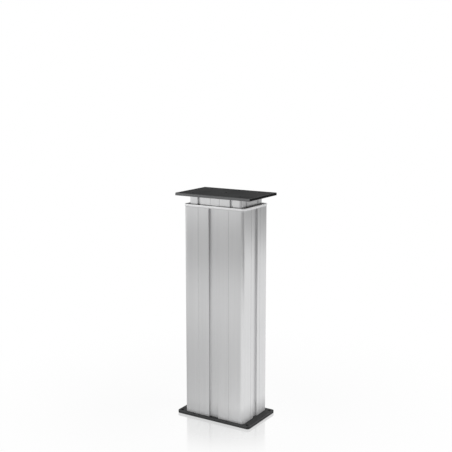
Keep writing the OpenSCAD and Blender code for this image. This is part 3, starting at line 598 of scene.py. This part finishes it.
def makeThreadRidge(setup, turn):
    # one start: a trapezium wound up the bar, and sunk a little into it
    crestRadius, crestWidth = setup["crest"]
    rootRadius, rootWidth = setup["root"]
    bpy.ops.object.select_all(action="DESELECT")
    bpy.ops.mesh.primitive_plane_add(size=1, location=(0, 0, 0))
    ridge = bpy.context.object
    outline = [(rootRadius, -rootWidth / 2), (crestRadius, -crestWidth / 2), (rootRadius, rootWidth / 2),
               (crestRadius, crestWidth / 2)]
    foot = setup["threadFoot"] + rootWidth / 2
    for vertex, (radius, height) in zip(ridge.data.vertices, outline):
        vertex.co = (radius * math.cos(turn), radius * math.sin(turn), foot + height)
    bpy.ops.object.mode_set(mode="EDIT")
    bpy.ops.mesh.select_all(action="SELECT")
    bpy.ops.mesh.delete(type="ONLY_FACE")
    bpy.ops.object.mode_set(mode="OBJECT")
    screw = ridge.modifiers.new("winding", "SCREW")
    screw.axis = "Z"
    screw.screw_offset = setup["lead"]
    screw.iterations = setup["turns"]
    screw.steps = screw.render_steps = setup["stepsPerTurn"]
    screw.use_smooth_shade = False
    bpy.ops.object.modifier_apply(modifier="winding")
    bpy.ops.object.mode_set(mode="EDIT")
    bpy.ops.mesh.select_all(action="SELECT")
    bpy.ops.mesh.fill_holes(sides=4)
    bpy.ops.mesh.select_all(action="SELECT")
    bpy.ops.mesh.normals_make_consistent(inside=False)
    bpy.ops.object.mode_set(mode="OBJECT")
    return ridge


def makeLeadScrew(setup):
    parts = [makeTurnedBar(setup)]
    for start in range(setup["starts"]):
        parts.append(makeThreadRidge(setup, 2 * math.pi * start / setup["starts"]))
    bpy.ops.object.select_all(action="DESELECT")
    for part in parts:
        part.select_set(True)
    bpy.context.view_layer.objects.active = parts[0]
    bpy.ops.object.join()
    piece = bpy.context.object
    piece.name = "leadScrewThreaded"
    bpy.ops.object.shade_smooth_by_angle(angle=math.radians(setup["smoothBelow"]))
    piece.data.materials.clear()
    piece.data.materials.append(materials["steel"])
    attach(piece, "spindle")
    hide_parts("lead_screw")


makeLeadScrew(leadScrewSetup)
print("threaded lead screw made")

white = (1, 1, 1, 1)

# a reach is the pair of distances from the column between which an effect dies out
floorSetup = {
    "size": 40.0,
    "drop": 0.0004,
    "matt": (0.88, 0.88, 0.88, 1),
    "shine": 0.34,
    "shineRoughness": 0.10,
    "shineReach": (0.09, 0.34),
    "shadow": 0.10,
    "shadowReach": (0.2, 1.0),
    "glow": (0.80, 1.0),  # of the mirrored floor, in front on the left, and at the right and behind
    "farGlow": (1.10, 0.36),  # the same far away, and in the world above the horizon
    "farReach": (4.0, 7.0),
    "side": (0.9, 0.43, 0.0),  # points to the right and a little back
    "glowTurn": (-0.95, 0.2),  # how far a direction points along side, from where to where the glow changes
}

# places where the floor's glow in mirror images is painted darker or brighter, standing in for flags and
# cards
glowPatches = [
    {"place": (-1.15, -3.00, 0.0), "reach": (0.6, 1.5), "level": 0.25},
    {"place": (-3.40, -4.10, 0.0), "reach": (0.8, 2.1), "level": 1.60},
    {"place": (-0.55, -0.36, 0.0), "reach": (0.1, 0.9), "level": 0.77},
    {"place": (2.1, 3.7, 0.0), "reach": (0.6, 2.1), "level": 0.30},
    {"place": (1.6, -3.2, 0.0), "reach": (0.8, 1.9), "level": 0.15},
    {"place": (3.4, -0.6, 0.0), "reach": (1.0, 2.1), "level": 0.15},
]


def shaderNode(tree, kind, **values):
    node = addNode(tree, kind)
    for name, value in values.items():
        setInput(tree, node.inputs[name], value)
    return node.outputs[0]


def mixShader(tree, factor, a, b):
    node = addNode(tree, "ShaderNodeMixShader")
    for socket, value in zip(node.inputs, (factor, a, b)):
        tree.links.new(value, socket)
    return node.outputs[0]


def lightPath(tree):
    # seen is 1 where the camera sees a thing itself or through glass, and not in a mirror image
    rays = addNode(tree, "ShaderNodeLightPath").outputs
    seen = mathNode(tree, "MAXIMUM", rays["Is Camera Ray"], rays["Is Transmission Ray"])
    return rays, seen


def glowTowards(tree, direction, levels):
    turn = vectorNode(tree, "DOT_PRODUCT", direction, Vector(floorSetup["side"]).normalized())
    return rangeNode(tree, turn, *floorSetup["glowTurn"], *levels, smooth=True)


def makeGlow(tree, place, distance):
    towards = vectorNode(tree, "NORMALIZE", place)
    glow = glowTowards(tree, towards, floorSetup["glow"])
    # painted light and shade: each place dims or brightens the glow around it
    for patch in glowPatches:
        away = vectorNode(tree, "DISTANCE", place, patch["place"])
        level = rangeNode(tree, away, *patch["reach"], patch["level"], 1, smooth=True)
        glow = mathNode(tree, "MULTIPLY", glow, level)
    far = rangeNode(tree, distance, *floorSetup["farReach"], 0, 1, smooth=True)
    return mixValue(tree, far, glow, glowTowards(tree, towards, floorSetup["farGlow"]))


def makeFloor():
    # white with a faint shine to the camera, matt for the object's light, and glowing in mirror images
    bpy.ops.object.select_all(action="DESELECT")
    bpy.ops.mesh.primitive_plane_add(size=floorSetup["size"], location=(0, 0, -floorSetup["drop"]))
    floor = bpy.context.object
    floor.name = "floor"
    material = bpy.data.materials.new("floorWhite")
    material.use_nodes = True
    tree = material.node_tree
    tree.nodes.clear()
    place = addNode(tree, "ShaderNodeTexCoord").outputs["Object"]
    distance = vectorNode(tree, "LENGTH", place)
    shine = rangeNode(tree, distance, *floorSetup["shineReach"], floorSetup["shine"], 0, smooth=True)
    shadow = rangeNode(tree, distance, *floorSetup["shadowReach"], floorSetup["shadow"], 0, smooth=True)
    plain = shaderNode(tree, "ShaderNodeEmission", Color=white)
    matt = shaderNode(tree, "ShaderNodeBsdfDiffuse", Color=floorSetup["matt"])
    shiny = shaderNode(tree, "ShaderNodeBsdfGlossy", Color=white, Roughness=floorSetup["shineRoughness"])
    glowing = shaderNode(tree, "ShaderNodeEmission", Color=white, Strength=makeGlow(tree, place, distance))
    rays, seen = lightPath(tree)
    direct = mixShader(tree, shine, mixShader(tree, shadow, plain, matt), shiny)
    other = mixShader(tree, rays["Is Glossy Ray"], matt, glowing)
    surface = addNode(tree, "ShaderNodeOutputMaterial").inputs["Surface"]
    tree.links.new(mixShader(tree, seen, other, direct), surface)
    floor.data.materials.append(material)


makeFloor()

worldSetup = {
    "fill": 0.50,  # what it gives to matt surfaces
    "wallTop": (0.08, 0.28),  # upward shares of a direction between which the wall turns into white
    "mirrorings": (2, 3),  # all of it shows up to the first, and the share deep from the second on
    "deep": 0.55,
}


def makeWorld():
    # white to the camera; in mirror images it goes on from the far floor up to the top of a studio's walls
    world = bpy.data.worlds.new("studio")
    scene.world = world
    world.use_nodes = True
    tree = world.node_tree
    tree.nodes.clear()
    direction = addNode(tree, "ShaderNodeTexCoord").outputs["Generated"]
    wall = glowTowards(tree, direction, floorSetup["farGlow"])
    above = rangeNode(tree, splitNode(tree, direction)["Z"], *worldSetup["wallTop"], 0, 1, smooth=True)
    glow = rangeNode(tree, above, 0, 1, wall, 1)
    rays, seen = lightPath(tree)
    deep = rangeNode(tree, rays["Ray Depth"], *worldSetup["mirrorings"], 1, worldSetup["deep"])
    mirrored = mathNode(tree, "MULTIPLY", glow, deep)
    level = mixValue(tree, rays["Is Glossy Ray"], worldSetup["fill"], mirrored)
    strength = mixValue(tree, seen, level, 1)
    background = shaderNode(tree, "ShaderNodeBackground", Color=white, Strength=strength)
    tree.links.new(background, addNode(tree, "ShaderNodeOutputWorld").inputs["Surface"])


makeWorld()

# azimuth 0 is in front of the wide face and 90 is at the right end, as in the views
lamps = {
    "keyLamp": {"azimuth": 110, "elevation": 56, "distance": 3.2, "size": (2.0, 2.0), "power": 34},
    "fillLamp": {"azimuth": -35, "elevation": 56, "distance": 3.4, "size": (2.0, 2.0), "power": 22},
    "topLamp": {"azimuth": 20, "elevation": 85, "distance": 3.0, "size": (2.4, 2.4), "power": 8},
}


def makeLamps():
    middle = Vector((0, 0, outerHigh.z / 2))
    for name, lamp in lamps.items():
        azimuth, elevation = math.radians(lamp["azimuth"]), math.radians(lamp["elevation"])
        away = Vector((math.sin(azimuth) * math.cos(elevation), -math.cos(azimuth) * math.cos(elevation),
                       math.sin(elevation)))
        data = bpy.data.lights.new(name, "AREA")
        data.shape = "RECTANGLE"
        data.size, data.size_y = lamp["size"]
        data.energy = lamp["power"]
        item = bpy.data.objects.new(name, data)
        scene.collection.objects.link(item)
        item.location = middle + away * lamp["distance"]
        item.rotation_mode = "QUATERNION"
        item.rotation_quaternion = (-away).to_track_quat("-Z", "Y")


makeLamps()
print("floor, world and lamps made")
